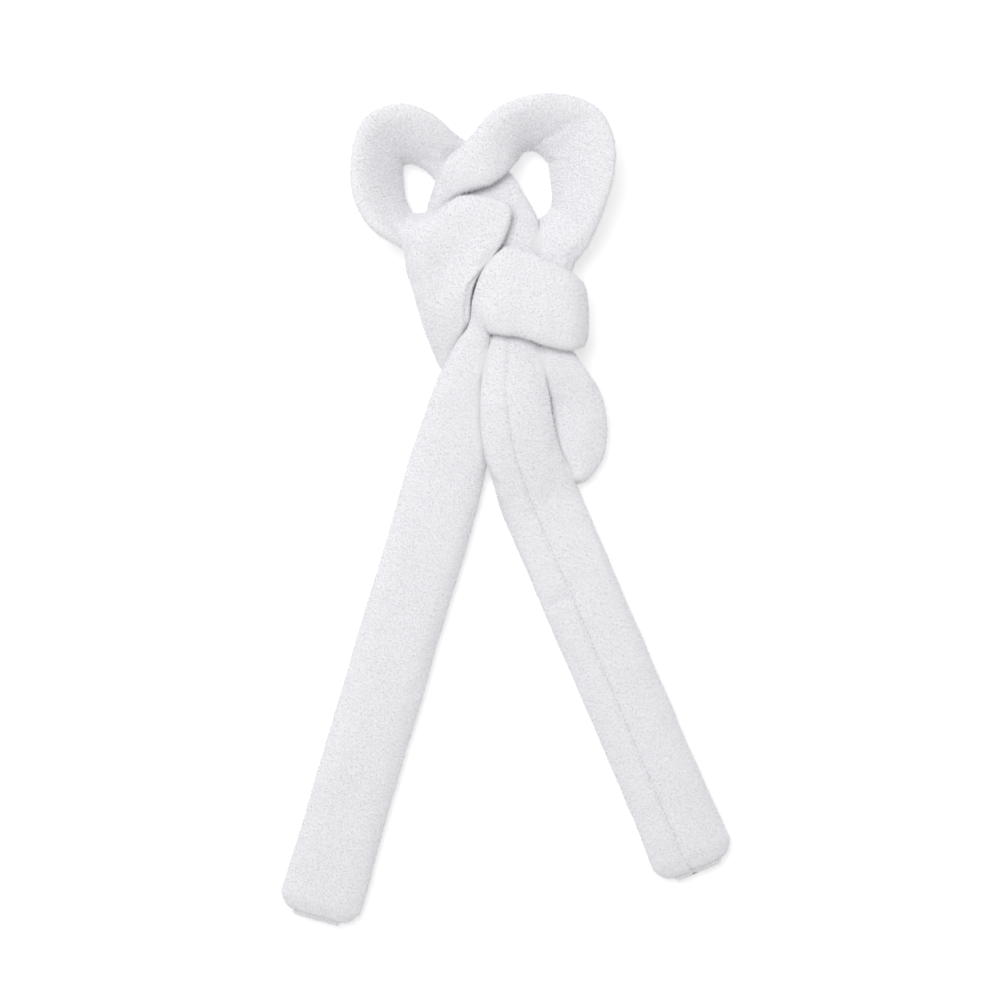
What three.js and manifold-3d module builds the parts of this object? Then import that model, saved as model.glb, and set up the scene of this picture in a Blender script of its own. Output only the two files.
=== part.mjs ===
// Plush spa headband: one long padded band, tied into a bow knot with two loops and two loose tails.
// Millimetres. The band lies flat: +Z points up out of the surface, +Y runs from the tails to the loops.
import * as THREE from "three";
import { mergeVertices } from "three/addons/utils/BufferGeometryUtils.js";
import Module from "manifold-3d";

const wasm = await Module();
wasm.setup();

// ---- driving sizes -------------------------------------------------------
const BAND_WIDTH = 50; // flat width of the sewn band
const TAIL_THICK = 13; // padded thickness of a loose tail
const KNOT_THICK = 10; // thickness where strands press on each other
const COVER = 2.4; // plush cloth, backing and pile together
const GAP = 0.3; // room between neighbouring pieces
const HINGE_GAP = 0.8; // room each side of a cut that moves
const RIGHT_TAIL = 238; // from the cut below the knot to the rounded end
const LEFT_TAIL = 263;
const RIGHT_LEAN = 23.2; // degrees each tail leans away from straight down
const LEFT_LEAN = 16.4;
const CORNER = 12; // radius of the rounded corners of the ends
const PRESS = 0.8; // how much of the underside is pressed flat by the surface
const SEAM_AT = 0.22; // the long seam, from the middle (0) to the inner edge (1)
const SEAM_GROOVE = 1.3; // radius of the groove the seam pulls into the pile
const THREAD = 0.5; // radius of the seam thread
const THREAD_SINK = 0.6; // how far its middle lies below the surface
const PROFILE_POINTS = 14;
const ROUND = 2.56; // how full the cross-section is: 2 is an oval, more is squarer

const COLOURS = { cover: 0xf1f0f3, wadding: 0xfafafa, thread: 0xe2e1e6 };

// ---- the band's route ----------------------------------------------------
// A station is a cut across the band: its outer edge, its inner edge and its thickness.
// The outer edge is the right-hand one when walking up the right tail into the knot.
const at = (fx, fy, fz, rx, ry, rz, thick = KNOT_THICK) => ({
  outer: new THREE.Vector3(fx, fy, fz),
  inner: new THREE.Vector3(rx, ry, rz),
  thick,
});

// Stations of a straight tail, from the cut below the knot to its rounded end.
function tail(x, y, lean, length, side) {
  const out = new THREE.Vector3(side * Math.sin(rad(lean)), -Math.cos(rad(lean)), 0);
  const across = new THREE.Vector3(-out.y, out.x, 0);
  const half = BAND_WIDTH / 2;
  const rows = [0, 0.17, 0.34, 0.5, 0.66, 0.82].map((f) => [f * length, 0, 1]);
  rows.push([length - CORNER, 0, 1]);
  rows.push([length - CORNER * 0.5, CORNER * 0.13, 0.9]);
  rows.push([length - CORNER * 0.13, CORNER * 0.45, 0.68]);
  rows.push([length, CORNER * 0.85, 0.4]);
  return rows.map(([s, tuck, puff]) => {
    const mid = new THREE.Vector3(x, y, TAIL_THICK / 2 - PRESS).addScaledVector(out, s);
    const reach = half - tuck;
    return {
      outer: mid.clone().addScaledVector(across, reach),
      inner: mid.clone().addScaledVector(across, -reach),
      thick: TAIL_THICK * puff,
    };
  });
}

function rad(degrees) {
  return (degrees * Math.PI) / 180;
}

const rightTail = tail(23.5, 1.5, RIGHT_LEAN, RIGHT_TAIL, 1);
const leftTail = tail(-40.8, 5.7, LEFT_LEAN, LEFT_TAIL, -1);

const parts = [
  ["right_tail_end", rightTail.slice(4).reverse()],
  ["right_tail_upper", rightTail.slice(1, 4).reverse()],
  [
    "right_tail_root",
    [
      rightTail[0],
      at(40, 27, 9, -7, 13, 10, 12),
      at(34, 40, 13, -12, 32, 15, 11),
      at(30, 56, 16.5, -15, 51, 18.5),
      at(27, 75, 17, -15, 74, 20),
      at(25, 96, 17, -12.5, 96, 18),
    ],
  ],
  [
    "left_leg",
    [
      at(21, 115, 16.8, -9, 115, 16.8),
      at(20, 132, 16.8, -9, 132, 16.8),
      at(21.5, 154, 16.8, -11, 151, 16.8),
      at(20, 174, 16.5, -14, 166, 16.5),
      at(11, 191, 15, -24, 178, 15),
      at(0, 207, 13.5, -32, 189, 12.5),
      at(-23, 222, 18, -42, 200, 9),
    ],
  ],
  [
    "left_loop",
    [
      at(-32.5, 228, 24, -47, 206, 8),
      at(-44, 237, 30, -53, 210, 7),
      at(-62, 243, 32, -60, 211, 6.5),
      at(-82, 236, 32, -62.5, 208, 6.5),
      at(-91, 215.5, 32, -62.5, 200, 6.5),
      at(-91.5, 191.5, 32, -61, 189, 6.5),
      at(-83, 172, 32, -58, 181.5, 8),
    ],
  ],
  [
    "knot_front",
    [
      at(-69, 161.5, 30, -55, 178.5, 11),
      at(-62, 156, 26, -43, 180.5, 21),
      at(-60, 144, 22, -26, 189, 27.5),
      at(-57, 135, 19, 1, 183.5, 28.5),
      at(-54, 125, 16, -4, 159, 28.5),
      at(-50, 113, 13, -17.5, 134.5, 26),
      at(-45, 100, 10, -16, 117.5, 19.5),
      at(-37, 85, 6, -11, 99, 7),
    ],
  ],
  [
    "under_pass",
    [
      at(-23, 71, 5.2, -1, 88, 5.2),
      at(-4, 53, 5.2, 6, 77, 5.2),
      at(19, 31, 5.2, 14, 67, 5.2),
    ],
  ],
  [
    "side_bulge",
    [
      at(42, 17, 6, 20, 64, 5.6, 11),
      at(58, 33, 7.5, 24, 66, 7, 11),
      at(61, 54, 10, 25.5, 71, 9.5, 11),
      at(57, 73, 13, 25.5, 78, 12.5, 11),
      at(48, 88, 15.5, 25, 87, 15.5, 11),
      at(40, 99, 16.8, 24, 99, 16.8),
    ],
  ],
  [
    "right_leg",
    [
      at(38, 115, 16.8, 23, 115, 16.8),
      at(38, 132, 16.8, 18, 134, 16.8),
      at(42, 148, 18, 15, 158, 15.5),
      at(47, 155, 20, 16, 172, 12.5),
    ],
  ],
  [
    "right_loop",
    [
      at(52, 163, 23, 26, 183, 9),
      at(59, 183, 28, 28, 193, 7.5),
      at(64, 202, 31, 27, 203, 6.5),
      at(64, 221, 32, 26, 210.5, 6.5),
      at(55.5, 239, 32, 22, 215.5, 6.5),
      at(37, 248, 32, 16, 219, 7),
      at(15, 248, 32, 10, 217.5, 9.5),
      at(-3, 242, 31, 5.5, 210.5, 15),
    ],
  ],
  [
    "crossing_strand",
    [
      at(-16, 229.5, 29.5, 2, 205, 20),
      at(-25, 220, 28, -8, 196, 24),
      at(-36, 210, 24, -22, 192, 22),
      at(-42, 196.5, 18.5, -29, 188, 17.5),
      at(-47, 181, 13, -35, 181, 13.5),
    ],
  ],
  [
    "rear_pass",
    [
      at(-51, 165, 8.5, -32, 170, 8.5),
      at(-49, 145, 5.2, -28, 159, 5.2),
      at(-40, 124, 5.2, -18, 153, 5.2),
      at(-20, 109, 5.2, -4, 151, 5.2),
      at(5, 105, 5.2, 13, 150, 5.2),
      at(28, 105, 5.2, 31, 146, 5.2, 9),
    ],
  ],
  [
    "wrap",
    [
      at(41, 103, 6, 40, 142, 6, 8),
      at(45, 101, 11, 43, 139, 11, 8),
      at(45.5, 99, 17, 44.5, 137, 17, 8),
      at(44, 98, 23, 43, 139, 23, 9),
      at(38, 96, 27.5, 37, 143, 27.5),
      at(25, 98, 28.8, 23, 151, 28.8, 11),
      at(10, 103, 28.8, 8, 157, 28.8, 11),
      at(-2, 105, 28.3, -2, 157, 28.3, 11),
      at(-8, 106, 26, -13, 148, 26, 11),
      at(-9.5, 107, 22.5, -19, 131, 23, 11),
    ],
  ],
  [
    "left_tail_root",
    [
      at(-8.5, 104, 19, -22, 115, 19, 11),
      at(-8, 97, 17, -31, 101, 16.5),
      at(-8, 84, 16.5, -38, 87, 13),
      at(-8.5, 66, 15, -46, 69, 10),
      at(-8, 42, 12, -54, 48, 7, 11),
      at(-12, 21, 7.5, -60, 30, 6, 12),
    ],
  ],
  ["left_tail_upper", leftTail.slice(0, 3)],
  ["left_tail_end", leftTail.slice(3)],
];

// The whole band as one smooth run; every part then starts where the part before it stops.
const stations = parts.flatMap(([, list]) => list);
const curve = (points) => new THREE.CatmullRomCurve3(points, false, "catmullrom", 0.5);
const outerEdge = curve(stations.map((s) => s.outer));
const innerEdge = curve(stations.map((s) => s.inner));
const thickness = curve(stations.map((s, i) => new THREE.Vector3(i, s.thick, 0)));
const last = stations.length - 1;

// Where the band is at a place along it: middle, half width across, and half thickness.
function band(place) {
  const t = THREE.MathUtils.clamp(place / last, 0, 1);
  const a = outerEdge.getPoint(t);
  const b = innerEdge.getPoint(t);
  const step = 0.02 / last;
  const middle = (u) => outerEdge.getPoint(u).add(innerEdge.getPoint(u)).multiplyScalar(0.5);
  const along = middle(Math.min(t + step, 1)).sub(middle(Math.max(t - step, 0))).normalize();
  const across = b.clone().sub(a).multiplyScalar(0.5);
  const up = along.clone().cross(across).normalize();
  return { mid: a.add(b).multiplyScalar(0.5), across, up, along, half: thickness.getPoint(t).y / 2 };
}

// A path for ExtrudeGeometry whose frames carry the band's own width and thickness.
class BandPath extends THREE.Curve {
  constructor(places, grow) {
    super();
    this.rows = places.map(band);
    this.grow = grow;
  }
  getSpacedPoints() {
    return this.rows.map((r) => r.mid);
  }
  computeFrenetFrames() {
    const wide = (r) => r.across.clone().setLength(r.across.length() + this.grow);
    return {
      tangents: this.rows.map((r) => r.along),
      normals: this.rows.map(wide),
      binormals: this.rows.map((r) => r.up.clone().multiplyScalar(r.half + this.grow)),
    };
  }
}

// The band's cross-section at unit size: a flattened round with full edges.
function profile(points) {
  const corner = (v) => Math.sign(v) * Math.abs(v) ** (2 / ROUND);
  const outline = [];
  for (let i = 0; i < points; i++) {
    const a = (2 * Math.PI * (i + 0.5)) / points;
    outline.push(new THREE.Vector2(corner(Math.cos(a)), corner(Math.sin(a))));
  }
  return new THREE.Shape(outline);
}

function solidOf(geometry) {
  geometry.deleteAttribute("normal");
  geometry.deleteAttribute("uv");
  const g = mergeVertices(geometry, 1e-4);
  const vertProperties = new Float32Array(g.attributes.position.array);
  return new wasm.Manifold(
    new wasm.Mesh({ numProp: 3, vertProperties, triVerts: new Uint32Array(g.index.array) }),
  );
}

function meshOf(name, solid, colour) {
  const m = solid.getMesh();
  const g = new THREE.BufferGeometry();
  g.setAttribute("position", new THREE.BufferAttribute(new Float32Array(m.vertProperties), 3));
  g.setIndex(new THREE.BufferAttribute(new Uint32Array(m.triVerts), 1));
  g.computeVertexNormals();
  const mesh = new THREE.Mesh(g, new THREE.MeshStandardMaterial({ color: colour, roughness: 0.95 }));
  mesh.name = name;
  return mesh;
}

// The largest piece of a solid, so that a cut can't leave crumbs behind.
function whole(solid) {
  const found = solid.decompose();
  return found.reduce((a, b) => (b.volume() > a.volume() ? b : a));
}

// The places along the band where each part starts and stops.
const first = {};
let count = 0;
for (const [name, list] of parts) {
  first[name] = count;
  count += list.length;
}
const names = parts.map(([name]) => name);
const MOVING_CUTS = new Set([
  "right_tail_upper",
  "right_tail_root",
  "left_loop",
  "knot_front",
  "right_loop",
  "crossing_strand",
  "left_tail_upper",
  "left_tail_end",
]);

// The places where rings go. A hollow or filling (`inset` above 0) stops short of the rounded ends,
// and `extend` carries the run past its cuts by that many millimetres.
function rings(name, inset = 0, extend = 0) {
  const i = names.indexOf(name);
  const isFirst = i === 0;
  const isLast = i + 1 === names.length;
  const from = first[name];
  const to = isLast ? last : first[names[i + 1]];
  let list = [];
  for (let p = from; p <= to; p++) list.push(p);
  if (isFirst && inset > 0) list = list.slice(2);
  if (isLast && inset > 0) list = list.slice(0, -2);
  const space = (p, q) => band(p).mid.distanceTo(band(q).mid);
  const room = (n) => (MOVING_CUTS.has(n) ? HINGE_GAP : GAP / 2);
  if (!isFirst) {
    const gauge = space(from, from + 1);
    list[0] = from + room(name) / gauge;
    if (extend) list.unshift(list[0] - extend / gauge);
  }
  if (!isLast) {
    const gauge = space(to - 1, to);
    list[list.length - 1] = to - room(names[i + 1]) / gauge;
    if (extend) list.push(list[list.length - 1] + extend / gauge);
  }
  return list;
}

function sweep(name, grow, extend) {
  const places = rings(name, -grow, extend);
  return solidOf(
    new THREE.ExtrudeGeometry(profile(PROFILE_POINTS), {
      steps: places.length - 1,
      extrudePath: new BandPath(places, grow),
      bevelEnabled: false,
    }),
  );
}

// Parts nearer the front come first: each one dents the ones after it where they press together.
const FRONT_TO_BACK = [
  "wrap",
  "right_tail_root",
  "left_tail_root",
  "knot_front",
  "crossing_strand",
  "side_bulge",
  "left_leg",
  "right_leg",
  "left_loop",
  "right_loop",
  "under_pass",
  "rear_pass",
  "right_tail_upper",
  "left_tail_upper",
  "right_tail_end",
  "left_tail_end",
];

// One part's body, drawn in by `inset`: flat where it rests, dented by the parts in front of it.
function body(name, inset, extend = 0) {
  let solid = sweep(name, -inset, extend).trimByPlane([0, 0, 1], inset);
  const rank = FRONT_TO_BACK.indexOf(name);
  for (const other of FRONT_TO_BACK.slice(0, rank)) {
    const near = Math.abs(names.indexOf(other) - names.indexOf(name)) === 1;
    if (near) continue;
    solid = solid.subtract(sweep(other, inset + GAP, 1));
  }
  return whole(solid);
}

const group = new THREE.Group();
group.name = "spa_headband";

// The line of the long seam on the sewn band's face, `sink` millimetres below its surface.
function seamLine(name, sink) {
  const rise = (1 - SEAM_AT ** ROUND) ** (1 / ROUND);
  return rings(name, 1).map((p) => {
    const b = band(p);
    const point = b.mid.clone().addScaledVector(b.across, SEAM_AT).addScaledVector(b.up, b.half * rise);
    point.z = Math.max(point.z, 0);
    return point.addScaledVector(b.up, -sink);
  });
}

// The same line run on past both of its ends.
function longer(points, more) {
  const [a, b] = points;
  const [y, z] = points.slice(-2);
  const before = a.clone().add(a.clone().sub(b).setLength(more));
  const after = z.clone().add(z.clone().sub(y).setLength(more));
  return [before, ...points.slice(1, -1), after];
}

function cord(points, radius) {
  const round = new THREE.Shape().absarc(0, 0, radius, 0, 2 * Math.PI);
  const extrudePath = new THREE.CatmullRomCurve3(points);
  const steps = points.length * 2;
  return solidOf(
    new THREE.ExtrudeGeometry(round, { steps, curveSegments: 4, extrudePath, bevelEnabled: false }),
  );
}

for (const name of names) {
  // The cover is open where the band goes on, so its hollow runs past both cuts.
  const hollow = body(name, COVER, 2 * COVER);
  const wadding = whole(body(name, COVER + GAP).intersect(hollow));
  let cover = body(name, 0).subtract(hollow).subtract(wadding);
  if (name.includes("tail")) {
    const line = seamLine(name, THREAD_SINK);
    cover = cover.subtract(cord(longer(line, 2 * COVER), SEAM_GROOVE));
    const thread = cord(line, THREAD);
    group.add(meshOf(name + "_seam", thread, COLOURS.thread));
  }
  group.add(meshOf(name + "_cover", whole(cover), COLOURS.cover));
  group.add(meshOf(name + "_wadding", wadding, COLOURS.wadding));
}

// The middle of the footprint is the origin, and the underside is at z = 0.
const box = new THREE.Box3().setFromObject(group);
const centre = box.getCenter(new THREE.Vector3());
group.position.set(-centre.x, -centre.y, -box.min.z);

export default group;
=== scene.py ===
# %% [markdown]
# # Plush spa headband, tied in a bow knot
# One soft band is made as a single run of rings that follow its route through the knot.
# The rings are pressed apart where strands touch, puffed up as padded cloth, and cut into
# pieces. Short pile, a long seam and its stitches are added on top.

# %% [markdown]
# ## The frame
# Every solid of the headband is already placed in one shared frame. Its record gives the joints and
# its box gives the size, so nothing here has to be fitted by eye. Lengths below are in millimetres,
# because a maker thinks in them, and are turned into metres only when a mesh is made.

# %% Start: the imported frame and the libraries
import math

import bpy
import numpy as np
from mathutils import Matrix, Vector, noise
from mathutils.bvhtree import BVHTree


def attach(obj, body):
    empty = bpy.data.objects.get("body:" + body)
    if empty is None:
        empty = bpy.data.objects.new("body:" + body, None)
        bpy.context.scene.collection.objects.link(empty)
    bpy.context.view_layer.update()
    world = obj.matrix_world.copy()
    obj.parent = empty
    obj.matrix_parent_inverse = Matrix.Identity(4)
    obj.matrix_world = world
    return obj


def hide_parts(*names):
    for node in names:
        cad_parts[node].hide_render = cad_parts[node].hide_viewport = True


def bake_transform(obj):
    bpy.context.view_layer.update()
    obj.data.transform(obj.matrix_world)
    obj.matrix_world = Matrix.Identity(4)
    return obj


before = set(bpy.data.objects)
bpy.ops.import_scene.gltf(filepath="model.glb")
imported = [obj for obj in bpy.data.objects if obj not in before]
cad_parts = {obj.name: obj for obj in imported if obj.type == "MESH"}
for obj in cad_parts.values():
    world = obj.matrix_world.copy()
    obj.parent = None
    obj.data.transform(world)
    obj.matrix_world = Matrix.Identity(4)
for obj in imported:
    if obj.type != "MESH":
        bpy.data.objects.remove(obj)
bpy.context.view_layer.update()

MM = 0.001

# %% Driving sizes, in millimetres
BAND_WIDTH = 50.0
TAIL_THICK = 13.0
KNOT_THICK = 10.0
RIGHT_TAIL = 238.0
LEFT_TAIL = 263.0
RIGHT_LEAN = 23.2
LEFT_LEAN = 16.4
RIGHT_FOOT = (23.5, 1.5)
LEFT_FOOT = (-40.8, 5.7)
CORNER = 12.0
PRESS = 0.8
RING_EVERY = 4.0
AROUND = 32
CENTRING = np.array([-0.305, 1.015, 0.0])
CONTACT_GAP = 0.25
SMOOTHINGS = 3
SEAM_AT = 0.22
print("tails", RIGHT_TAIL, "and", LEFT_TAIL, "mm below the knot, band", BAND_WIDTH, "mm wide")


# %% [markdown]
# ## The route
# A station is a cut across the band: outer edge, inner edge and thickness. A smooth curve through
# the stations gives the whole band. Stations are easier to reason about than a centre line with a
# twist, because each edge is placed where it is seen.

# %% Stations of the two straight tails
def tail(x, y, lean, length, side):
    out = np.array([side * math.sin(math.radians(lean)), -math.cos(math.radians(lean)), 0.0])
    across = np.array([-out[1], out[0], 0.0])
    rows = [(f * length, 0.0, 1.0) for f in (0.0, 0.17, 0.34, 0.5, 0.66, 0.82)]
    rows.append((length - CORNER, 0.0, 1.0))
    rows.append((length - CORNER * 0.5, CORNER * 0.13, 0.9))
    rows.append((length - CORNER * 0.13, CORNER * 0.45, 0.68))
    rows.append((length, CORNER * 0.85, 0.4))
    made = []
    for s, tuck, puff in rows:
        mid = np.array([x, y, TAIL_THICK / 2 - PRESS]) + out * s
        reach = BAND_WIDTH / 2 - tuck
        made.append([*(mid + across * reach), *(mid - across * reach), TAIL_THICK * puff])
    return made


right_tail = tail(*RIGHT_FOOT, RIGHT_LEAN, RIGHT_TAIL, 1)
left_tail = tail(*LEFT_FOOT, LEFT_LEAN, LEFT_TAIL, -1)
print(len(right_tail), "stations in each tail")

# %% Stations of every part, in order along the band
K = KNOT_THICK
ROUTE = {
    "right_tail_end": right_tail[:3:-1],
    "right_tail_upper": right_tail[3:0:-1],
    "right_tail_root": [
        right_tail[0],
        [40, 27, 9, -7, 13, 10, 12],
        [34, 40, 13, -12, 32, 15, 11],
        [30, 56, 16.5, -15, 51, 18.5, K],
        [27, 75, 17, -15, 74, 20, K],
        [25, 96, 17, -12.5, 96, 18, K],
    ],
    "left_leg": [
        [21, 115, 16.8, -9, 115, 16.8, K],
        [20, 132, 16.8, -9, 132, 16.8, K],
        [21.5, 154, 16.8, -11, 151, 16.8, K],
        [20, 174, 16.5, -14, 166, 16.5, K],
        [11, 191, 15, -24, 178, 15, K],
        [0, 207, 13.5, -32, 189, 12.5, K],
        [-23, 222, 18, -42, 200, 9, K],
    ],
    "left_loop": [
        [-32.5, 228, 24, -47, 206, 8, K],
        [-44, 237, 30, -53, 210, 7, K],
        [-62, 243, 32, -60, 211, 6.5, K],
        [-82, 236, 32, -62.5, 208, 6.5, K],
        [-91, 215.5, 32, -62.5, 200, 6.5, K],
        [-91.5, 191.5, 32, -61, 189, 6.5, K],
        [-83, 172, 32, -58, 181.5, 8, K],
    ],
    "knot_front": [
        [-69, 161.5, 30, -55, 178.5, 11, K],
        [-62, 156, 26, -43, 180.5, 21, K],
        [-60, 144, 22, -26, 189, 27.5, K],
        [-57, 135, 19, 1, 183.5, 28.5, K],
        [-54, 125, 16, -4, 159, 28.5, K],
        [-50, 113, 13, -17.5, 134.5, 26, K],
        [-45, 100, 10, -16, 117.5, 19.5, K],
        [-37, 85, 6, -11, 99, 7, K],
    ],
    "under_pass": [
        [-23, 71, 5.2, -1, 88, 5.2, K],
        [-4, 53, 5.2, 6, 77, 5.2, K],
        [19, 31, 5.2, 14, 67, 5.2, K],
    ],
    "side_bulge": [
        [42, 17, 6, 20, 64, 5.6, 11],
        [58, 33, 7.5, 24, 66, 7, 11],
        [61, 54, 10, 25.5, 71, 9.5, 11],
        [57, 73, 13, 23, 78, 12.5, 11],
        [48, 88, 15.5, 21, 87, 15.5, 11],
        [41, 99, 16.8, 20, 99, 16.8, K],
    ],
    "right_leg": [
        [38, 115, 16.8, 23, 115, 16.8, K],
        [38, 132, 16.8, 18, 134, 16.8, K],
        [42, 148, 18, 15, 158, 15.5, K],
        [47, 155, 20, 16, 172, 12.5, K],
    ],
    "right_loop": [
        [52, 163, 23, 26, 183, 9, K],
        [59, 183, 28, 28, 193, 7.5, K],
        [64, 202, 31, 27, 203, 6.5, K],
        [64, 221, 32, 26, 210.5, 6.5, K],
        [55.5, 239, 32, 22, 215.5, 6.5, K],
        [37, 248, 32, 16, 219, 7, K],
        [15, 248, 32, 10, 217.5, 9.5, K],
        [-3, 242, 31, 5.5, 210.5, 15, K],
    ],
    "crossing_strand": [
        [-16, 229.5, 29.5, 2, 205, 20, K],
        [-25, 220, 28, -8, 196, 24, K],
        [-36, 210, 24, -22, 192, 22, K],
        [-42, 196.5, 18.5, -29, 188, 17.5, K],
        [-47, 181, 13, -35, 181, 13.5, K],
    ],
    "rear_pass": [
        [-51, 165, 8.5, -32, 170, 8.5, K],
        [-49, 145, 5.2, -28, 159, 5.2, K],
        [-40, 124, 5.2, -18, 153, 5.2, K],
        [-20, 109, 5.2, -4, 151, 5.2, K],
        [5, 105, 5.2, 13, 150, 5.2, K],
        [28, 105, 5.2, 31, 146, 5.2, 9],
    ],
    "wrap": [
        [41, 103, 6, 40, 142, 6, 8],
        [45, 101, 11, 43, 139, 11, 8],
        [45.5, 99, 17, 44.5, 137, 17, 8],
        [44, 98, 23, 43, 139, 23, 9],
        [38, 96, 27.5, 37, 143, 27.5, K],
        [25, 98, 28.8, 23, 151, 28.8, 11],
        [10, 103, 28.8, 8, 157, 28.8, 11],
        [-2, 105, 28.3, -2, 157, 28.3, 11],
        [-8, 106, 26, -13, 148, 26, 11],
        [-9.5, 107, 22.5, -19, 131, 23, 11],
    ],
    "left_tail_root": [
        [-8.5, 104, 19, -22, 115, 19, 11],
        [-8, 97, 17, -31, 101, 16.5, K],
        [-8, 84, 16.5, -38, 87, 13, K],
        [-8.5, 66, 15, -46, 69, 10, K],
        [-8, 42, 12, -54, 48, 7, 11],
        [-12, 21, 7.5, -60, 30, 6, 12],
    ],
    "left_tail_upper": left_tail[:3],
    "left_tail_end": left_tail[3:],
}
PARTS = list(ROUTE)
STATIONS = np.array([row for rows in ROUTE.values() for row in rows], float)
FIRST = np.cumsum([0] + [len(rows) for rows in ROUTE.values()])[:-1]
print(len(STATIONS), "stations in", len(PARTS), "parts")


# %% [markdown]
# ## One smooth run of rings
# The stations are far apart and unevenly spaced. They could be joined by straight stretches, which
# would show as bends, or by a curve fitted through all of them at once, which swings wide. A curve
# that takes its slope at each station from the two neighbours does neither. It is read at even
# distances, so the faces of the cloth start about the same size.

# %% Smooth curve through the stations
def smooth(points, place):
    i = np.clip(np.floor(place).astype(int), 0, len(points) - 2)
    u = (place - i)[:, None]
    run = np.vstack([2 * points[0] - points[1], points, 2 * points[-1] - points[-2]])
    a, b, c, d = run[i], run[i + 1], run[i + 2], run[i + 3]
    return 0.5 * (2 * b + (c - a) * u + (2 * a - 5 * b + 4 * c - d) * u**2
                  + (3 * b - a - 3 * c + d) * u**3)


def unit(v):
    return v / np.maximum(np.linalg.norm(v, axis=-1, keepdims=True), 1e-9)


fine = np.linspace(0, len(STATIONS) - 1, 8000)
fine_rows = smooth(STATIONS, fine)
fine_mid = (fine_rows[:, 0:3] + fine_rows[:, 3:6]) / 2
length_at = np.concatenate([[0], np.cumsum(np.linalg.norm(np.diff(fine_mid, axis=0), axis=1))])
band_length = length_at[-1]
inside = np.arange(RING_EVERY, band_length - RING_EVERY, RING_EVERY)
near_end = np.array([0.0, 0.7, 2.0])  # closer rings at each end keep the corners of the tails
wanted = np.concatenate([near_end, inside, band_length - near_end[::-1]])
rings = len(wanted)
place = np.interp(wanted, length_at, fine)
part_of = np.searchsorted(FIRST, place + 1e-9, side="right") - 1
print(f"band {band_length:.0f} mm long, {rings} rings of {AROUND} points")

# %% Rings of points round the band
rows = smooth(STATIONS, place)
outer, inner, half = rows[:, 0:3], rows[:, 3:6], rows[:, 6:7] / 2
middle = (outer + inner) / 2
across = (inner - outer) / 2
along = unit(np.gradient(middle, axis=0))
up = unit(np.cross(along, across))
for _ in range(2):
    up[1:-1] = unit(up[:-2] + 2 * up[1:-1] + up[2:])
angle = 2 * np.pi * (np.arange(AROUND) + 0.5) / AROUND
ROUND = 2.4
px = np.sign(np.cos(angle)) * np.abs(np.cos(angle)) ** (2 / ROUND)
py = np.sign(np.sin(angle)) * np.abs(np.sin(angle)) ** (2 / ROUND)
grid = (middle[:, None] + across[:, None] * px[None, :, None]
        + up[:, None] * (half * py[None, :])[..., None]) + CENTRING
grid[..., 2] = np.maximum(grid[..., 2], 0.0)
print("rings run from z", round(grid[..., 2].min(), 1), "to", round(grid[..., 2].max(), 1), "mm")


# %% [markdown]
# ## Strands that press on each other
# In a knot every strand dents the ones it touches. A boolean cut would give hard edges, and cloth
# collision is slow and jumps when strands start inside each other. Here every point that is inside
# another strand is moved about half of the way out, over several rounds. The other strand does the
# same, so they meet in the middle, as two soft things do, and the movement is smoothed at the end.

# %% Press the strands apart
def quads(n):
    i = np.arange(n - 1)[:, None]
    j = np.arange(AROUND)[None, :]
    k = (j + 1) % AROUND
    return np.stack([i * AROUND + j, i * AROUND + k, (i + 1) * AROUND + k, (i + 1) * AROUND + j], -1
                    ).reshape(-1, 4)


CONTACT_REACH = 9.0
CONTACT_SHARE = 0.55
DIRECT_PUSH = 0.75
SPREAD_PUSH = 0.5
ROUNDS_BEFORE_STUFFING = 6
ROUNDS_AFTER_STUFFING = 5


def relax_contacts(grid, rounds):
    before = grid
    spans = []
    for k in range(len(PARTS)):
        found = np.nonzero(part_of == k)[0]
        spans.append((found[0], min(found[-1] + 2, rings)))
    for turn in range(rounds):
        trees, lows, highs = [], [], []
        for a, b in spans:
            pts = grid[a:b].reshape(-1, 3)
            faces = quads(b - a).tolist()
            trees.append(BVHTree.FromPolygons(pts.tolist(), faces))
            lows.append(pts.min(0))
            highs.append(pts.max(0))
        push = np.zeros_like(grid)
        touched = np.zeros(grid.shape[:2])
        for k, (a, b) in enumerate(spans):
            for other in range(len(PARTS)):
                if abs(other - k) < 2:
                    continue
                if (lows[k] > highs[other]).any() or (highs[k] < lows[other]).any():
                    continue
                near = ((grid[a:b] > lows[other]) & (grid[a:b] < highs[other])).all(-1)
                for r, c in zip(*np.nonzero(near)):
                    p = Vector(grid[a + r, c])
                    spot, normal, _, _ = trees[other].find_nearest(p, CONTACT_REACH)
                    if spot is None:
                        continue
                    depth = (p - spot).dot(normal)
                    if depth < CONTACT_GAP:
                        step = (CONTACT_GAP - depth) * CONTACT_SHARE
                        push[a + r, c] += np.array(normal) * step
                        touched[a + r, c] = 1
        spread = push.copy()
        for _ in range(2):
            spread = (spread + np.roll(spread, 1, 1) + np.roll(spread, -1, 1)
                      + np.vstack([spread[:1], spread[:-1]]) + np.vstack([spread[1:], spread[-1:]])) / 5
        grid = grid + push * DIRECT_PUSH + spread * SPREAD_PUSH
        grid[..., 2] = np.maximum(grid[..., 2], 0.0)
        print("contact round", turn, "points pressed:", int(touched.sum()),
              "largest step", round(float(np.linalg.norm(push, axis=-1).max()), 2), "mm")
    moved = grid - before
    for _ in range(SMOOTHINGS):
        moved = (2 * moved + np.roll(moved, 1, 1) + np.roll(moved, -1, 1)
                 + np.vstack([moved[:1], moved[:-1]]) + np.vstack([moved[1:], moved[-1:]])) / 6
    grid = before + moved
    grid[..., 2] = np.maximum(grid[..., 2], 0.0)
    return grid


grid = relax_contacts(grid, ROUNDS_BEFORE_STUFFING)


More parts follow.
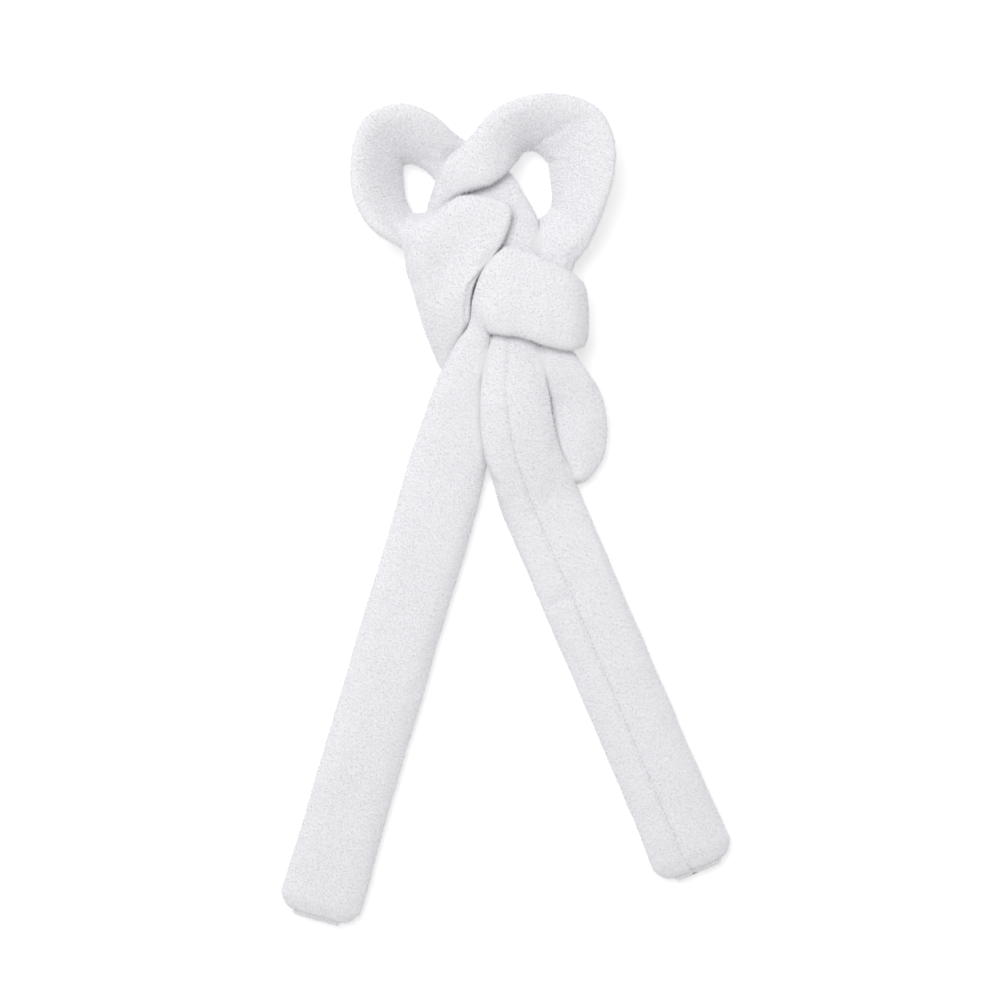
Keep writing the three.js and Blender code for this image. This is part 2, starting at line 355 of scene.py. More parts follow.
# %% [markdown]
# ## Stuffed cloth
# A sewn tube full of wadding is tight and rounded. It could be swelled evenly along its normals, but
# that is the same everywhere. Blender's Cloth swells it with pressure, and the cloth is cut a little
# too large. The band's own even faces are used, because a remesh would weld the strands together.
# The movement is held to a little over a millimetre, because the knot has no more room than that, so
# the cloth decides mostly the direction in which each point moves, and the cap decides how far.

# %% Puff the band up with pressure
SIM_FRAMES = 20
PRESSURE = 4.0
SPARE_CLOTH = 0.03
MOST_PUFF = 1.2
END_STIFF = 9.0


def closed_tube(name, grid):
    count = len(grid)
    points = np.vstack([grid.reshape(-1, 3), grid[0].mean(0), grid[-1].mean(0)]) * MM
    faces = quads(count).tolist()
    last = (count - 1) * AROUND
    for j in range(AROUND):
        k = (j + 1) % AROUND
        faces.append([k, j, count * AROUND])
        faces.append([last + j, last + k, count * AROUND + 1])
    mesh = bpy.data.meshes.new(name)
    mesh.from_pydata(points.tolist(), [], faces)
    obj = bpy.data.objects.new(name, mesh)
    bpy.context.scene.collection.objects.link(obj)
    return obj


def puff(grid):
    tube = closed_tube("band_being_stuffed", grid)
    cloth = tube.modifiers.new("stuffing", "CLOTH")
    cloth.settings.quality = 6
    cloth.settings.mass = 0.2
    cloth.settings.tension_stiffness = 12
    cloth.settings.compression_stiffness = 12
    cloth.settings.shear_stiffness = 4
    cloth.settings.bending_stiffness = 0.6
    cloth.settings.use_pressure = True
    cloth.settings.uniform_pressure_force = PRESSURE
    cloth.settings.shrink_min = -SPARE_CLOTH
    cloth.settings.effector_weights.gravity = 0
    cloth.collision_settings.use_collision = False
    cloth.point_cache.frame_start = 1
    cloth.point_cache.frame_end = SIM_FRAMES
    for step in range(1, SIM_FRAMES + 1):
        bpy.context.scene.frame_set(step)
    stuffed = tube.evaluated_get(bpy.context.evaluated_depsgraph_get())
    points = np.empty(len(stuffed.data.vertices) * 3)
    stuffed.data.vertices.foreach_get("co", points)
    bpy.context.scene.frame_set(1)
    bpy.data.objects.remove(tube)
    moved = points.reshape(-1, 3)[:-2].reshape(grid.shape) / MM - grid
    from_end = np.minimum(wanted, band_length - wanted)
    moved *= np.clip((from_end - END_STIFF) / END_STIFF, 0, 1)[:, None, None]
    far = np.linalg.norm(moved, axis=-1, keepdims=True)
    print(f"stuffing moved the cloth {far.mean():.2f} mm on average, {far.max():.2f} mm at most")
    return grid + moved * np.minimum(1, MOST_PUFF / np.maximum(far, 1e-6))


grid = puff(grid)
grid = relax_contacts(grid, ROUNDS_AFTER_STUFFING)


# %% [markdown]
# ## Fine surface
# The seam and the small dents of the wadding are narrower than the faces used so far. A bump map
# could fake them, but it fails at the outline. The rings are read again with twice the detail along
# the band and three times round it, so that seam and dents are real shape.

# %% Finer rings
def finer(points, times, loop):
    count = len(points)
    run = np.concatenate([points[-1:], points, points[:2]]) if loop else points
    stop = count if loop else count - 1
    place = np.arange(stop * times + (0 if loop else 1)) / times + (1 if loop else 0)
    i = np.clip(np.floor(place).astype(int), 0, len(run) - 2)
    shape = (-1,) + (1,) * (points.ndim - 1)
    u = (place - i).reshape(shape)
    a = run[np.maximum(i - 1, 0)]
    b, c = run[i], run[i + 1]
    d = run[np.minimum(i + 2, len(run) - 1)]
    return 0.5 * (2 * b + (c - a) * u + (2 * a - 5 * b + 4 * c - d) * u**2
                  + (3 * b - a - 3 * c + d) * u**3)


ALONG_TIMES = 2
AROUND_TIMES = 3
fine_grid = finer(grid, ALONG_TIMES, loop=False)
fine_grid = np.swapaxes(finer(np.swapaxes(fine_grid, 0, 1), AROUND_TIMES, loop=True), 0, 1)
FINE_AROUND = AROUND * AROUND_TIMES
print("fine surface", fine_grid.shape)


# %% [markdown]
# ## Closed ends of the tails
# The real tube is turned in at its ends, which leaves a soft rim and no visible seam. A flat cap
# would look cut. Three rings are set beyond each end instead, each further out and thinner.

# %% Rounded ends
END_ROUNDING = ((0.82, 1.3), (0.55, 2.2), (0.2, 2.7))  # thickness left, millimetres beyond the end
END_RINGS = len(END_ROUNDING)
END_NARROWING = 0.06


def rounded_end(grid, at):
    ring, before = (grid[0], grid[1]) if at == 0 else (grid[-1], grid[-2])
    centre = ring.mean(0)
    out = unit(centre - before.mean(0))
    added = []
    for thin, push in END_ROUNDING:
        flat = ring - centre
        flat[:, 2] *= thin
        flat[:, :2] *= 1 - (1 - thin) * END_NARROWING
        added.append(centre + flat + out * push)
    if at == 0:
        return np.concatenate([np.array(added[::-1]), grid])
    return np.concatenate([grid, np.array(added)])


fine_grid = rounded_end(rounded_end(fine_grid, 0), -1)
print(len(fine_grid), "rings with both ends closed")


# %% [markdown]
# ## Shading that ignores the cuts
# The band will be cut into pieces. If each piece worked out its own normals, every cut would show as
# a line. They are worked out once on the whole band, and each piece is given its share of them.

# %% Normals of the whole band
def band_normals(grid):
    along = np.gradient(grid, axis=0)
    around = np.roll(grid, -1, 1) - np.roll(grid, 1, 1)
    return unit(np.cross(around, along))


normals = band_normals(fine_grid)
outwards = ((fine_grid - fine_grid.mean(1, keepdims=True)) * normals).sum(-1).mean()
print("normals point", "out" if outwards > 0 else "in")
if outwards < 0:
    normals = -normals

# %% [markdown]
# ## Which cloth is open to the air
# Pressed pile is short and flat, and open pile stands up. Ambient occlusion in a material would only
# darken the creases. The distance from each point to the other strands is measured, and stored as a
# share that the pile and the dents use, and that darkens the colour as painted shade in the creases.

# %% Which points are covered by another strand
fine_part = np.repeat(part_of, ALONG_TIMES)[: len(fine_grid) - 2 * END_RINGS]
fine_part = np.concatenate([[0] * END_RINGS, fine_part, [len(PARTS) - 1] * END_RINGS])


def fine_quads(count):
    i = np.arange(count - 1)[:, None]
    j = np.arange(FINE_AROUND)[None, :]
    k = (j + 1) % FINE_AROUND
    n = FINE_AROUND
    return np.stack([i * n + j, i * n + k, (i + 1) * n + k, (i + 1) * n + j], -1).reshape(-1, 4)


def room_over(grid, reach):
    room = np.full(grid.shape[:2], reach)
    for k in range(len(PARTS)):
        found = np.nonzero(fine_part == k)[0]
        a, b = found[0], min(found[-1] + 2, len(grid))
        pts = grid[a:b].reshape(-1, 3)
        tree = BVHTree.FromPolygons(pts.tolist(), fine_quads(b - a).tolist())
        low, high = pts.min(0) - reach, pts.max(0) + reach
        for r, c in zip(*np.nonzero(((grid > low) & (grid < high)).all(-1))):
            if abs(fine_part[r] - k) < 2:
                continue
            p = Vector(grid[r, c])
            spot, normal, _, gap = tree.find_nearest(p, reach)
            if spot is not None:
                room[r, c] = min(room[r, c], max((p - spot).dot(normal), 0) if gap < reach else reach)
    return room


PILE_ROOM = 3.0
LEAST_OPEN = 0.45
room = room_over(fine_grid, PILE_ROOM)
# open_share also darkens the plush colour: painted shade in the creases between strands
open_share = np.clip(room / PILE_ROOM, LEAST_OPEN, 1)
print(f"{(open_share > 0.9).mean():.0%} of the cloth is open to the air")

# %% [markdown]
# ## Dents of the wadding
# Wadding is never even, so the cloth over it has broad soft lumps and smaller dimples. Sculpting
# them would not follow a change of size. Two sizes of noise move the points along their normals,
# and less where the cloth is pressed or lies on the table.

# %% Soft dents of the wadding
LUMP = 0.55
DIMPLE = 0.22
LUMP_SIZE = 26
DIMPLE_SIZE = 7
TABLE_FADE = 2.0


def lumps(points):
    made = np.empty(points.shape[:2])
    for r in range(points.shape[0]):
        for c in range(points.shape[1]):
            p = Vector(points[r, c])
            made[r, c] = LUMP * noise.noise(p / LUMP_SIZE) + DIMPLE * noise.noise(p / DIMPLE_SIZE)
    return made


off_table = np.clip(fine_grid[..., 2] / TABLE_FADE, 0, 1)
dents = lumps(fine_grid) * open_share * off_table
fine_grid = fine_grid + normals * dents[..., None]
print("dents from", round(dents.min(), 2), "to", round(dents.max(), 2), "mm")


# %% [markdown]
# ## The long seam
# The cloth is one strip folded round the wadding and sewn up along its length, so one face of the
# band has a seam. The thread pulls the pile down into a narrow groove that wanders a little. It could
# be drawn in the material, but a groove in the shape also catches the light from the side. It fades
# out towards the knot, where pressed pile would hide it.

# %% Seam groove
SEAM_DEEP = 1.3
SEAM_WIDE = 1.5
WANDER = 0.5
WANDER_LENGTH = 22
RIPPLE = 0.15
RIPPLE_LENGTH = 1.9
DEEP_WHEN_PRESSED = 0.4
FADE = 25.0
seam_angle = math.acos(SEAM_AT ** (ROUND / 2))
seam_column = seam_angle / (2 * math.pi) * FINE_AROUND - 0.5 * AROUND_TIMES
run = np.concatenate([[0], np.cumsum(np.linalg.norm(np.diff(fine_grid.mean(1), axis=0), axis=1))])
beside_seam = fine_grid[:, [int(seam_column), int(seam_column) + 1]]
spacing = np.linalg.norm(np.diff(beside_seam, axis=1), axis=-1)[:, 0]
wavy = np.array([WANDER * noise.noise(Vector((s / WANDER_LENGTH, 3.1, 0))) for s in run])
column = np.arange(FINE_AROUND)[None, :]
off = (column - seam_column) * spacing[:, None] - wavy[:, None]
groove = np.exp(-((off / SEAM_WIDE) ** 2))
seam_depth = SEAM_DEEP * (0.85 + RIPPLE * np.sin(run / RIPPLE_LENGTH))
knot_starts = run[np.nonzero(fine_part == PARTS.index("left_leg"))[0][0]]
knot_stops = run[np.nonzero(fine_part == PARTS.index("left_tail_root"))[0][0]]
in_tails = np.maximum(knot_starts - run, run - knot_stops)
seam_depth *= np.clip(in_tails / FADE, 0, 1)
pressed_share = DEEP_WHEN_PRESSED + 0.6 * open_share
fine_grid = fine_grid - normals * (groove * seam_depth[:, None] * pressed_share)[..., None]
fine_grid[..., 2] = np.maximum(fine_grid[..., 2], 0.0)
normals = band_normals(fine_grid) * (1 if outwards > 0 else -1)
print("seam at column", round(seam_column, 1), "of", FINE_AROUND)


# %% [markdown]
# ## Materials
# Plush is thousands of short soft fibres. Up close they are modelled; between them, the cloth needs
# a finely mottled colour and bump, and a sheen for the light that fibre tips catch. An image of
# plush would stretch round the turns, so the mottling is noise placed by the cloth's own position.
# It is one shared group, because the cloth, the fibres and the thread differ only in its values.

# %% Shared effect: the mottling of short pile, and painted shade in the creases
PLUSH_WHITE = (0.871, 0.864, 0.889, 1)
THREAD_WHITE = (0.74, 0.735, 0.76, 1)
PILE_CLUMP = 0.0016


def pile_mottle():
    group = bpy.data.node_groups.new("pile mottle", "ShaderNodeTree")
    for name, kind in (("Place", "NodeSocketVector"), ("Clumps per metre", "NodeSocketFloat"),
                       ("Light", "NodeSocketColor"), ("Shade", "NodeSocketColor"),
                       ("Open", "NodeSocketFloat"), ("Painted crease shade", "NodeSocketColor")):
        group.interface.new_socket(name, in_out="INPUT", socket_type=kind)
    group.interface.new_socket("Colour", in_out="OUTPUT", socket_type="NodeSocketColor")
    group.interface.new_socket("Height", in_out="OUTPUT", socket_type="NodeSocketFloat")
    node, link = group.nodes.new, group.links.new
    taken = node("NodeGroupInput")
    given = node("NodeGroupOutput")
    clumps = node("ShaderNodeTexNoise")
    clumps.inputs["Detail"].default_value = 3
    clumps.inputs["Roughness"].default_value = 0.6
    patches = node("ShaderNodeTexNoise")
    patches.inputs["Scale"].default_value = 55
    patches.inputs["Detail"].default_value = 2
    both = node("ShaderNodeMath")
    both.operation = "MULTIPLY_ADD"
    both.inputs[1].default_value = 0.35
    share = node("ShaderNodeMapRange")
    share.inputs["From Min"].default_value = 0.4
    share.inputs["From Max"].default_value = 0.9
    colour = node("ShaderNodeMix")
    colour.data_type = "RGBA"
    link(taken.outputs["Place"], clumps.inputs["Vector"])
    link(taken.outputs["Clumps per metre"], clumps.inputs["Scale"])
    link(taken.outputs["Place"], patches.inputs["Vector"])
    link(patches.outputs["Fac"], both.inputs[0])
    link(clumps.outputs["Fac"], both.inputs[2])
    link(both.outputs[0], share.inputs["Value"])
    link(share.outputs["Result"], colour.inputs["Factor"])
    link(taken.outputs["Shade"], colour.inputs["A"])
    link(taken.outputs["Light"], colour.inputs["B"])
    # painted shade: the colour turns towards the darker crease colour where Open is low, in the creases
    # between strands
    pressed = node("ShaderNodeMix")
    pressed.data_type = "RGBA"
    link(taken.outputs["Open"], pressed.inputs["Factor"])
    link(taken.outputs["Painted crease shade"], pressed.inputs["A"])
    link(colour.outputs["Result"], pressed.inputs["B"])
    link(pressed.outputs["Result"], given.inputs["Colour"])
    link(clumps.outputs["Fac"], given.inputs["Height"])
    return group


mottle = pile_mottle()
print("shared effect with", len(mottle.nodes), "nodes")


# %% The finishes
# share of the cloth colour left in the creases: painted shade where other strands cover the cloth
PAINTED_CREASE_SHADE = 0.8
FIBRE_MARKS = 500
THREAD_MARKS = 1800


def darker(colour, share):
    return (colour[0] * share, colour[1] * share, colour[2] * share, 1)


def textile(name, light, shade, clumps, bump, rough, sheen):
    made = bpy.data.materials.new(name)
    made.use_nodes = True
    nodes, link = made.node_tree.nodes, made.node_tree.links.new
    skin = nodes["Principled BSDF"]
    skin.inputs["Roughness"].default_value = rough
    skin.inputs["Sheen Weight"].default_value = sheen
    skin.inputs["Sheen Roughness"].default_value = 0.5
    skin.inputs["Specular IOR Level"].default_value = 0.2
    where = nodes.new("ShaderNodeTexCoord")
    effect = nodes.new("ShaderNodeGroup")
    effect.node_tree = mottle
    effect.inputs["Clumps per metre"].default_value = clumps
    effect.inputs["Light"].default_value = light
    effect.inputs["Shade"].default_value = shade
    effect.inputs["Open"].default_value = 1
    effect.inputs["Painted crease shade"].default_value = darker(light, PAINTED_CREASE_SHADE)
    relief = nodes.new("ShaderNodeBump")
    relief.inputs["Strength"].default_value = 0.6
    relief.inputs["Distance"].default_value = bump
    link(where.outputs["Object"], effect.inputs["Place"])
    link(effect.outputs["Colour"], skin.inputs["Base Color"])
    link(effect.outputs["Height"], relief.inputs["Height"])
    link(relief.outputs["Normal"], skin.inputs["Normal"])
    return made


# darkens the plush colour by the 'open' share: painted shade in the creases
def shade_by_opening(material):
    nodes, link = material.node_tree.nodes, material.node_tree.links.new
    effect = [n for n in nodes if n.type == "GROUP"][0]
    opening = nodes.new("ShaderNodeAttribute")
    opening.attribute_name = "open"
    link(opening.outputs["Fac"], effect.inputs["Open"])


plush = textile("plush cloth", PLUSH_WHITE, darker(PLUSH_WHITE, 0.92),
                clumps=1 / PILE_CLUMP, bump=0.0004, rough=0.95, sheen=0.25)
shade_by_opening(plush)
fibre = textile("pile fibre", PLUSH_WHITE, darker(PLUSH_WHITE, 0.97),
                clumps=FIBRE_MARKS, bump=0.00005, rough=0.9, sheen=0.1)
stitch_thread = textile("sewing thread", THREAD_WHITE, darker(THREAD_WHITE, 0.85),
                        clumps=THREAD_MARKS, bump=0.0001, rough=0.7, sheen=0.1)
print("finishes:", plush.name, fibre.name, stitch_thread.name)


# %% [markdown]
# ## Cutting the band into pieces
# The joints stand for the band bending. The band could be cut at each joint, but the cut would open
# like a mouth as it moves. So a piece that crosses a joint is kept whole, and the cuts lie where
# nothing bends. Both sides of a cut share the same ring.

# %% Where the pieces start and stop
def ring_at(part, step=0.0):
    wanted = FIRST[PARTS.index(part)] + step
    return int(np.argmin(np.abs(place - wanted))) * ALONG_TIMES + END_RINGS


CUTS = [
    0,
    ring_at("right_tail_upper", 1.5),
    ring_at("right_tail_root", 3.5),
    ring_at("left_leg", 4.4),
    ring_at("knot_front", 2),
    ring_at("right_leg", 2),
    ring_at("crossing_strand", 2),
    ring_at("left_tail_root", 2),
    ring_at("left_tail_upper", 1.5),
    len(fine_grid) - 1,
]
print("cuts at rings", CUTS)

# %% What each piece is, and the joint it lies across
PIECES = [
    ("right_tail_end_plush", "right_tail_curl", ["right_tail_end"]),
    ("right_tail_plush", "right_tail_lift", ["right_tail_upper", "right_tail_root"]),
    ("rising_strand_plush", None, ["left_leg"]),
    ("left_loop_plush", "left_loop_fold", ["left_loop"]),
    ("knot_front_plush", None, ["knot_front", "under_pass", "side_bulge", "right_leg"]),
    ("right_loop_plush", "right_loop_fold", ["right_loop"]),
    ("knot_wrap_plush", None, ["crossing_strand", "rear_pass", "wrap"]),
    ("left_tail_plush", "left_tail_lift", ["left_tail_root", "left_tail_upper"]),
    ("left_tail_end_plush", "left_tail_curl", ["left_tail_end"]),
]


def move_with(obj, joint_name):
    if joint_name is None:
        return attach(obj, "knot")
    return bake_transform(obj)


# %% The plush pieces
def cloth_piece(name, start, stop):
    rows = slice(start, stop + 1)
    count = stop + 1 - start
    points = (fine_grid[rows] * MM).reshape(-1, 3)
    faces = fine_quads(count).tolist()
    shade = normals[rows].reshape(-1, 3)
    for ring, inward in ((start, start + 1), (stop, stop - 1)):
        base = (ring - start) * FINE_AROUND
        tip = len(points)
        centre = fine_grid[ring].mean(0)
        points = np.vstack([points, centre * MM])
        shade = np.vstack([shade, unit(centre - fine_grid[inward].mean(0))])
        for j in range(FINE_AROUND):
            k = (j + 1) % FINE_AROUND
            faces.append([base + k, base + j, tip] if ring == start else [base + j, base + k, tip])
    mesh = bpy.data.meshes.new(name)
    mesh.from_pydata(points.tolist(), [], faces)
    open_to_air = mesh.attributes.new("open", "FLOAT", "POINT")
    values = np.zeros(len(points), np.float32)
    values[: count * FINE_AROUND] = open_share[rows].ravel()
    open_to_air.data.foreach_set("value", values)
    mesh.polygons.foreach_set("use_smooth", [True] * len(mesh.polygons))
    mesh.materials.append(plush)
    mesh.normals_split_custom_set_from_vertices(shade.tolist())
    obj = bpy.data.objects.new(name, mesh)
    bpy.context.scene.collection.objects.link(obj)
    return obj


cloth_pieces = {}
for (name, _, _), start, stop in zip(PIECES, CUTS[:-1], CUTS[1:]):
    cloth_pieces[name] = cloth_piece(name, start, stop)
    print(name, len(cloth_pieces[name].data.polygons), "faces")


# %% [markdown]
# ## Pile
# The pile is what makes plush soft: it blurs the edges and fills the creases. Hair curves would do
# it too, but only meshes can be handed on as solid pieces. Geometry Nodes plants short leaning
# fibres, each a three-sided spike, and fewer and shorter ones where the cloth is pressed.

# %% Planting tree
SHORTEST = 0.55
TALLEST = 1.15


def pile_tree():
    tree = bpy.data.node_groups.new("plant pile", "GeometryNodeTree")
    socket = tree.interface.new_socket
    socket("Cloth", in_out="INPUT", socket_type="NodeSocketGeometry")
    for name, kind, value in (
        ("Fibres per square metre", "NodeSocketFloat", 1.5e6),
        ("Length", "NodeSocketFloat", 0.0013),
        ("Thickness", "NodeSocketFloat", 0.0002),
        ("Lean", "NodeSocketFloat", 0.75),
        ("Seed", "NodeSocketInt", 7), ("Fibre", "NodeSocketMaterial", None),
    ):
        made = socket(name, in_out="INPUT", socket_type=kind)
        if value is not None:
            made.default_value = value
    socket("Pile", in_out="OUTPUT", socket_type="NodeSocketGeometry")
    node, link = tree.nodes.new, tree.links.new
    taken, given = node("NodeGroupInput"), node("NodeGroupOutput")
    air = node("GeometryNodeInputNamedAttribute")
    air.inputs["Name"].default_value = "open"
    crowd = node("ShaderNodeMath")
    crowd.operation = "MULTIPLY"
    scatter = node("GeometryNodeDistributePointsOnFaces")
    blade = node("GeometryNodeMeshCone")
    blade.inputs["Vertices"].default_value = 3
    blade.fill_type = "NONE"
    blade.inputs["Radius Top"].default_value = 0
    plant = node("GeometryNodeInstanceOnPoints")
    lean = node("FunctionNodeRandomValue")
    lean.data_type = "FLOAT_VECTOR"
    away = node("ShaderNodeVectorMath")
    away.operation = "SCALE"
    away.inputs["Scale"].default_value = -1
    both_ways = node("ShaderNodeCombineXYZ")
    turn = node("FunctionNodeRotateRotation")
    turn.rotation_space = "LOCAL"
    tall = node("FunctionNodeRandomValue")
    tall.data_type = "FLOAT"
    tall.inputs[2].default_value = SHORTEST
    tall.inputs[3].default_value = TALLEST
    short = node("ShaderNodeMath")
    short.operation = "MULTIPLY"
    stretch = node("ShaderNodeCombineXYZ")
    stretch.inputs["X"].default_value = 1
    stretch.inputs["Y"].default_value = 1
    real = node("GeometryNodeRealizeInstances")
    paint = node("GeometryNodeSetMaterial")
    link(taken.outputs["Cloth"], scatter.inputs["Mesh"])
    link(air.outputs["Attribute"], crowd.inputs[0])
    link(taken.outputs["Fibres per square metre"], crowd.inputs[1])
    link(crowd.outputs[0], scatter.inputs["Density"])
    link(taken.outputs["Seed"], scatter.inputs["Seed"])
    link(taken.outputs["Thickness"], blade.inputs["Radius Bottom"])
    link(taken.outputs["Length"], blade.inputs["Depth"])
    link(scatter.outputs["Points"], plant.inputs["Points"])
    link(blade.outputs["Mesh"], plant.inputs["Instance"])
    link(taken.outputs["Lean"], both_ways.inputs["X"])
    link(taken.outputs["Lean"], both_ways.inputs["Y"])
    link(both_ways.outputs[0], lean.inputs["Max"])
    link(both_ways.outputs[0], away.inputs[0])
    link(away.outputs[0], lean.inputs["Min"])
    link(taken.outputs["Seed"], lean.inputs["Seed"])
    link(scatter.outputs["Rotation"], turn.inputs["Rotation"])
    link(lean.outputs["Value"], turn.inputs["Rotate By"])
    link(turn.outputs["Rotation"], plant.inputs["Rotation"])
    link(air.outputs["Attribute"], short.inputs[0])
    link(tall.outputs[1], short.inputs[1])
    link(short.outputs[0], stretch.inputs["Z"])
    link(stretch.outputs[0], plant.inputs["Scale"])
    link(plant.outputs["Instances"], real.inputs["Geometry"])
    link(real.outputs["Geometry"], paint.inputs["Geometry"])
    link(taken.outputs["Fibre"], paint.inputs["Material"])
    link(paint.outputs["Geometry"], given.inputs["Pile"])
    return tree


def grown(source, tree, name, settings):
    helper = bpy.data.objects.new(name + "_grower", source)
    bpy.context.scene.collection.objects.link(helper)
    grower = helper.modifiers.new("grow", "NODES")
    grower.node_group = tree
    for item in tree.interface.items_tree:
        if item.in_out == "INPUT" and item.name in settings:
            grower[item.identifier] = settings[item.name]
    ready = helper.evaluated_get(bpy.context.evaluated_depsgraph_get())
    mesh = bpy.data.meshes.new_from_object(ready)
    bpy.data.objects.remove(helper)
    mesh.name = name
    obj = bpy.data.objects.new(name, mesh)
    bpy.context.scene.collection.objects.link(obj)
    return obj


# %% Plant the pile
FIRST_SEED = 11
planting = pile_tree()
pile_pieces = {}
for seed, (name, joint_name, _) in enumerate(PIECES, FIRST_SEED):
    pile_name = name.replace("plush", "pile")
    pile = grown(cloth_pieces[name].data, planting, pile_name, {"Seed": seed, "Fibre": fibre})
    pile_pieces[pile_name] = move_with(pile, joint_name)
print(sum(len(p.data.polygons) for p in pile_pieces.values()), "faces of pile")


# %% [markdown]
# ## Stitches
# The seam is closed with short stitches of plain thread that lie at the bottom of the groove. They
# could be a texture, but single stitches catch the light and cast small shadows. A tree sets one
# small long ball after another, evenly along the line of the seam, on the two tails only.

# %% Stitching tree
def stitch_tree():
    tree = bpy.data.node_groups.new("sew stitches", "GeometryNodeTree")
    socket = tree.interface.new_socket
    socket("Line", in_out="INPUT", socket_type="NodeSocketGeometry")
    for name, kind, value in (
        ("Spacing", "NodeSocketFloat", 0.0034), ("Stitch length", "NodeSocketFloat", 0.0026),
        ("Thread radius", "NodeSocketFloat", 0.00038), ("Thread", "NodeSocketMaterial", None),
    ):
        made = socket(name, in_out="INPUT", socket_type=kind)
        if value is not None:
            made.default_value = value
    socket("Stitches", in_out="OUTPUT", socket_type="NodeSocketGeometry")
    node, link = tree.nodes.new, tree.links.new
    taken, given = node("NodeGroupInput"), node("NodeGroupOutput")
    curve = node("GeometryNodeMeshToCurve")
    even = node("GeometryNodeResampleCurve")
    even.mode = "LENGTH"
    stitch = node("GeometryNodeMeshUVSphere")
    stitch.inputs["Segments"].default_value = 6
    stitch.inputs["Rings"].default_value = 4
    stitch.inputs["Radius"].default_value = 1
    forward = node("GeometryNodeInputTangent")
    turn = node("FunctionNodeAlignRotationToVector")
    turn.axis = "Z"
    halve = node("ShaderNodeMath")
    halve.operation = "MULTIPLY"
    halve.inputs[1].default_value = 0.5
    size = node("ShaderNodeCombineXYZ")
    place_them = node("GeometryNodeInstanceOnPoints")
    real = node("GeometryNodeRealizeInstances")
    paint = node("GeometryNodeSetMaterial")
    link(taken.outputs["Line"], curve.inputs["Mesh"])
    link(curve.outputs["Curve"], even.inputs["Curve"])
    link(taken.outputs["Spacing"], even.inputs["Length"])
    link(even.outputs["Curve"], place_them.inputs["Points"])
    link(stitch.outputs["Mesh"], place_them.inputs["Instance"])
    link(forward.outputs["Tangent"], turn.inputs["Vector"])
    link(turn.outputs["Rotation"], place_them.inputs["Rotation"])
    link(taken.outputs["Stitch length"], halve.inputs[0])
    link(taken.outputs["Thread radius"], size.inputs["X"])
    link(taken.outputs["Thread radius"], size.inputs["Y"])
    link(halve.outputs[0], size.inputs["Z"])
    link(size.outputs[0], place_them.inputs["Scale"])
    link(place_them.outputs["Instances"], real.inputs["Geometry"])
    link(real.outputs["Geometry"], paint.inputs["Geometry"])
    link(taken.outputs["Thread"], paint.inputs["Material"])
    link(paint.outputs["Geometry"], given.inputs["Stitches"])
    return tree


# %% Sew the seam on both tails
ABOVE_CLOTH = 0.1
CLEAR_OF_END = 4


def seam_line(start, stop):
    deep = groove.argmax(1)
    rows = np.arange(start, stop + 1)
    points = (fine_grid[rows, deep[rows]] + normals[rows, deep[rows]] * ABOVE_CLOTH) * MM
    mesh = bpy.data.meshes.new("seam line")
    mesh.from_pydata(points.tolist(), [(i, i + 1) for i in range(len(points) - 1)], [])
    return mesh


sewing = stitch_tree()
SEAMS = [
    ("right_tail_end_stitches", 0, "right_tail_curl", ["right_tail_end"]),
    ("right_tail_stitches", 1, "right_tail_lift", ["right_tail_upper", "right_tail_root"]),
    ("left_tail_stitches", 7, "left_tail_lift", ["left_tail_root", "left_tail_upper"]),
    ("left_tail_end_stitches", 8, "left_tail_curl", ["left_tail_end"]),
]
for name, number, joint_name, sewn in SEAMS:
    start, stop = CUTS[number], CUTS[number + 1]
    first = max(start, END_RINGS + CLEAR_OF_END)
    last = min(stop, len(fine_grid) - 1 - END_RINGS - CLEAR_OF_END)
    line = seam_line(first, last)
    stitches = grown(line, sewing, name, {"Thread": stitch_thread})
    move_with(stitches, joint_name)
    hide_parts(*[part + "_seam" for part in sewn])
    print(name, len(stitches.data.polygons), "faces")

# %% [markdown]
# ## The plush pieces in place of the solids
# Each plush piece is a closed skin with wadding inside. Modelling the wadding would add nothing that
# shows, so the piece stands for both the cover and the wadding of its sections, and these are hidden.

# %% Each plush piece takes its place
for name, joint_name, replaced in PIECES:
    cloth = cloth_pieces[name]
    move_with(cloth, joint_name)
    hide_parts(*[part + kind for part in replaced for kind in ("_cover", "_wadding")])
print(len(PIECES), "padded pieces stand for", 2 * len(PARTS), "solids")


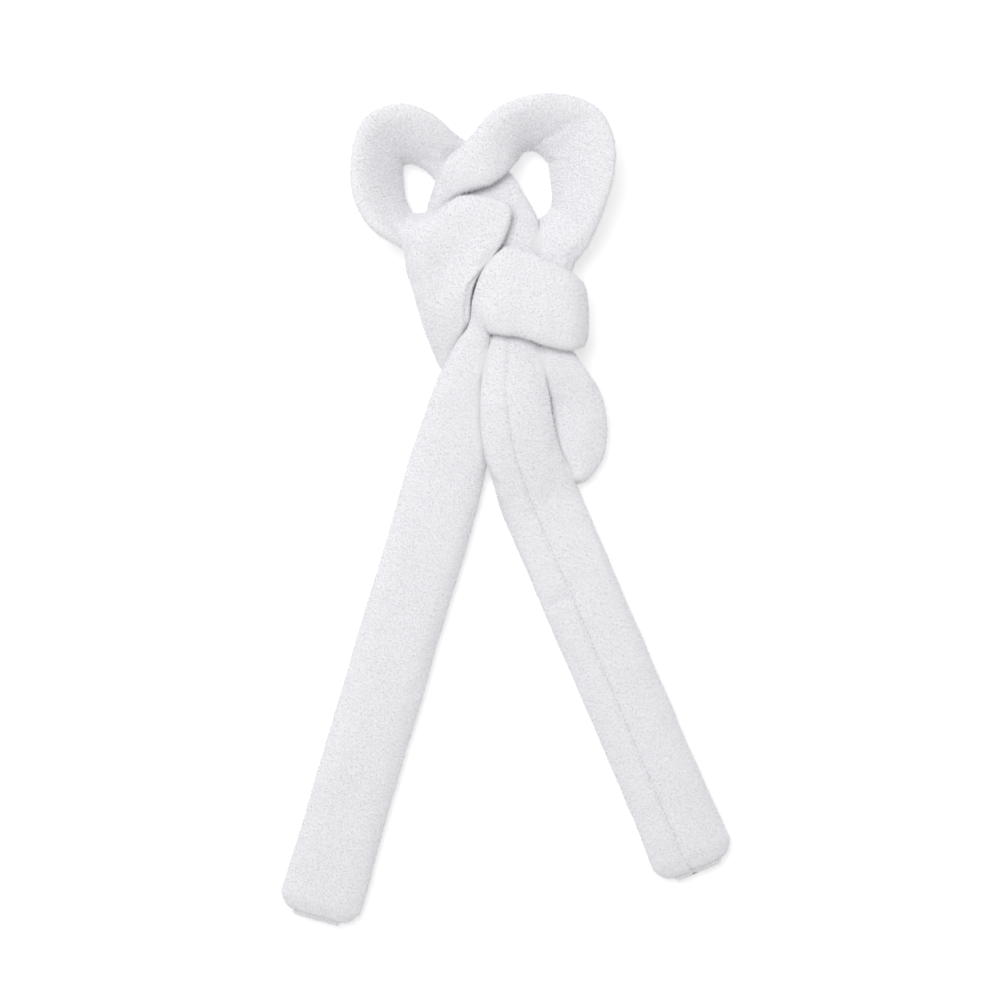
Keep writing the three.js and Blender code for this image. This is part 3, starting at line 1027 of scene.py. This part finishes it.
# %% [markdown]
# ## Table, light and camera
# White cloth on a white table shows only by its shading. A hard lamp would give black shadows, and a
# sky alone gives no direction. A bright sky gives the creases their depth, and one large lamp
# overhead, a little to the left, gives the curves their shape. The table glows slightly, so that it
# stays whiter than the cloth.

# %% Table
TABLE_HALF = 30
bpy.ops.mesh.primitive_plane_add(size=2 * TABLE_HALF, location=(0, 0, -0.0006))
table_top = bpy.context.object
table_top.name = "table_top"
table_paint = bpy.data.materials.new("white table")
table_paint.use_nodes = True
coat = table_paint.node_tree.nodes["Principled BSDF"]
coat.inputs["Base Color"].default_value = (0.66, 0.66, 0.66, 1)
coat.inputs["Roughness"].default_value = 0.8
coat.inputs["Specular IOR Level"].default_value = 0.1
coat.inputs["Emission Color"].default_value = (1, 1, 1, 1)
coat.inputs["Emission Strength"].default_value = 0.45
table_top.data.materials.append(table_paint)

# %% Light
sky = bpy.data.worlds.new("white room")
sky.use_nodes = True
sky.node_tree.nodes["Background"].inputs["Color"].default_value = (1, 1, 1, 1)
sky.node_tree.nodes["Background"].inputs["Strength"].default_value = 0.52
bpy.context.scene.world = sky


def soft_lamp(name, place_at, size, watts):
    lamp = bpy.data.lights.new(name, "AREA")
    lamp.size = size
    lamp.energy = watts
    obj = bpy.data.objects.new(name, lamp)
    obj.location = place_at
    obj.rotation_euler = (-Vector(place_at)).to_track_quat("-Z", "Y").to_euler()
    bpy.context.scene.collection.objects.link(obj)


soft_lamp("overhead_softbox", place_at=(-0.5, 0.7, 1.9), size=1.3, watts=27)
print("lamps:", [lamp.name for lamp in bpy.data.lights])

# %% Camera: straight down on the bow
LENS = 85
SENSOR = 36
SHOWN = 0.600  # metres of table across the view
AIM = (-0.0066, 0.0109, 0.015)
eye = bpy.data.cameras.new("overhead_camera")
eye.lens = LENS
eye.sensor_width = SENSOR
camera = bpy.data.objects.new("overhead_camera", eye)
camera.location = (AIM[0], AIM[1], AIM[2] + SHOWN * LENS / SENSOR)
bpy.context.scene.collection.objects.link(camera)
bpy.context.scene.camera = camera
bpy.context.scene.view_settings.view_transform = "Standard"
